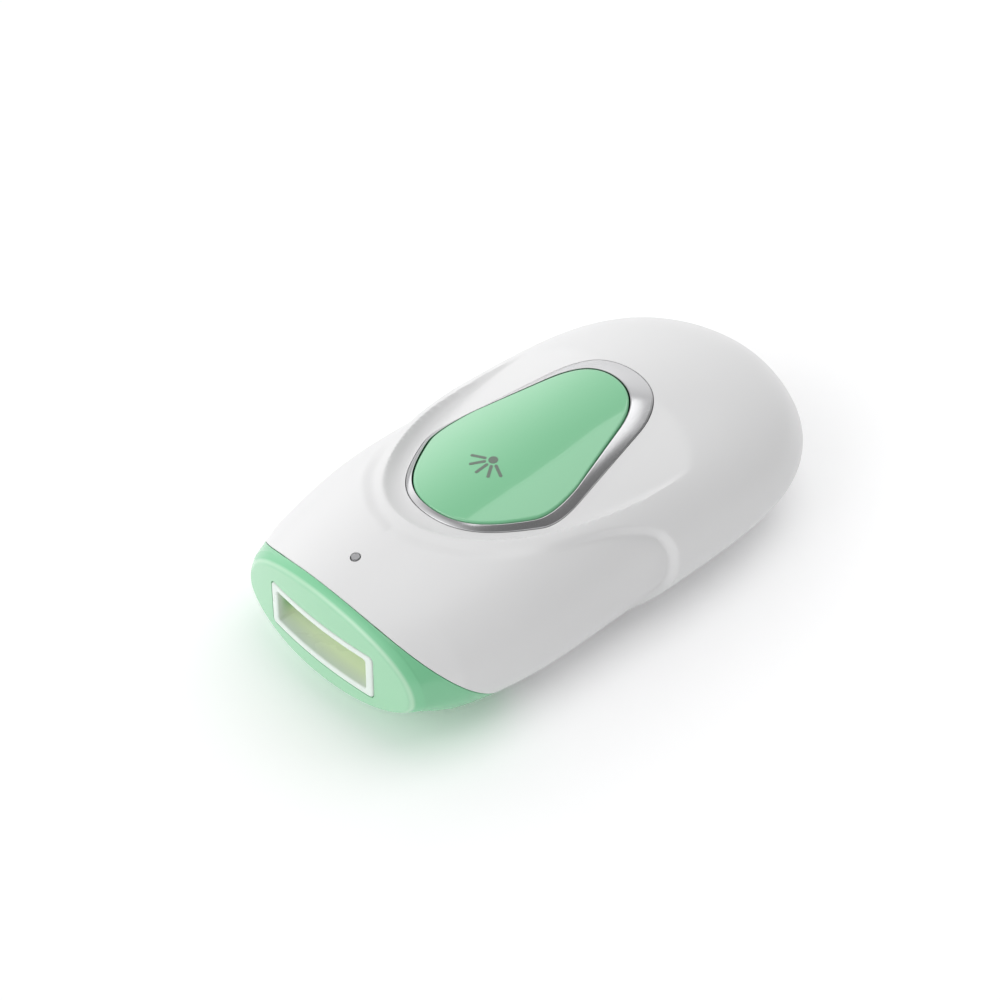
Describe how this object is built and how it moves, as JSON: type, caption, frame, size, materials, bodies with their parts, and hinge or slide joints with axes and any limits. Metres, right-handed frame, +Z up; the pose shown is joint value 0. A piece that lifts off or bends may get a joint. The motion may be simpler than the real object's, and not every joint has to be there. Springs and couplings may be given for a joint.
{
  "type": "ipl hair remover",
  "caption": "Palm-sized light-pulse hair remover: white body, green nose with flash window, green push button in a satin metal bezel.",
  "frame": {"origin": "middle of the bounding box's underside, on the surface that the device rests on", "axes": "+Z up, -Y towards the flash window, +X to the device's right seen from behind"},
  "size_m": [0.0718, 0.1319, 0.0399],
  "materials": {
    "casing_white": "fine satin moulded plastic",
    "nose_green": "satin moulded plastic",
    "button_green": "high gloss moulded plastic",
    "satin_metal": "satin plated",
    "frosted_plastic": "frosted translucent",
    "filter_glass": "coated glass",
    "mirror_metal": "polished",
    "ceramic": "unglazed",
    "aluminium": "extruded",
    "steel": "plated",
    "board_green": "solder mask",
    "copper": "enamelled wire",
    "brass": "turned",
    "capacitor_sleeve": "heat shrunk sleeve",
    "coil_tape": "polyester tape",
    "black_plastic": "moulded",
    "ferrite": "sintered",
    "icon_ink": "pad-printed ink",
    "red_wire": "silicone insulation"
  },
  "bodies": {
    "housing": {"upper_casing": "casing_white", "lower_casing": "casing_white", "nose_cover": "nose_green", "bezel_ring": "satin_metal", "button_board": "board_green", "tact_switch": "black_plastic", "button_spring_front": "steel", "button_spring_rear": "steel", "filter_glass": "filter_glass", "reflector": "mirror_metal", "flash_lamp": "filter_glass", "lamp_carrier": "black_plastic", "lamp_heatsink": "aluminium", "light_pipe": "frosted_plastic", "status_led": "frosted_plastic", "led_board": "board_green", "fan_frame": "black_plastic", "main_board": "board_green", "flash_capacitor_left": "capacitor_sleeve", "flash_capacitor_right": "capacitor_sleeve", "transformer_core": "ferrite", "transformer_coil": "coil_tape", "trigger_coil": "copper", "power_transistor": "black_plastic", "board_screw_1": "steel", "board_screw_2": "steel", "dc_socket": "black_plastic", "dc_pin": "brass", "dc_surround": "casing_white", "casing_screw_1": "steel", "casing_screw_2": "steel", "casing_screw_3": "steel", "casing_screw_4": "steel", "lamp_electrode_left": "brass", "lamp_holder_left": "ceramic", "frame_spring_left": "steel", "contact_switch_left": "black_plastic", "lamp_lead_left": "red_wire", "lamp_electrode_right": "brass", "lamp_holder_right": "ceramic", "frame_spring_right": "steel", "contact_switch_right": "black_plastic", "lamp_lead_right": "red_wire"},
    "window_frame_body": {"window_frame": "frosted_plastic"},
    "contact_plunger_left_body": {"contact_plunger_left": "frosted_plastic"},
    "contact_plunger_right_body": {"contact_plunger_right": "frosted_plastic"},
    "button_body": {"power_button": "button_green"},
    "tact_plunger_body": {"tact_plunger": "frosted_plastic"},
    "fan_rotor_body": {"fan_rotor": "black_plastic"}
  },
  "joints": [
    {"name": "window_press", "type": "slide", "parent": "housing", "child": "window_frame_body", "axis": [0, 1, 0], "range_m": [0, 0.001], "stiffness_N_per_m": 900, "springref_m": -0.0005, "deforming": ["frame_spring_left", "frame_spring_right"]},
    {"name": "contact_left", "type": "slide", "parent": "housing", "child": "contact_plunger_left_body", "axis": [0, 1, 0], "range_m": [0, 0.001]},
    {"name": "contact_right", "type": "slide", "parent": "housing", "child": "contact_plunger_right_body", "axis": [0, 1, 0], "range_m": [0, 0.001]},
    {"name": "button_press", "type": "slide", "parent": "housing", "child": "button_body", "axis": [0, 0.044, -0.999], "range_m": [0, 0.0008], "stiffness_N_per_m": 2000, "springref_m": -0.0004, "deforming": ["button_spring_front", "button_spring_rear"]},
    {"name": "switch_press", "type": "slide", "parent": "housing", "child": "tact_plunger_body", "axis": [0, 0.044, -0.999], "range_m": [0, 0.0008]},
    {"name": "fan_spin", "type": "hinge", "parent": "housing", "child": "fan_rotor_body", "pos_m": [0, -0.023, 0.0152], "axis": [0, 1, 0], "continuous": true}
  ],
  "couplings": [
    {"joint": "contact_left", "follows": "window_press", "ratio": 1},
    {"joint": "contact_right", "follows": "window_press", "ratio": 1},
    {"joint": "switch_press", "follows": "button_press", "ratio": 1}
  ]
}
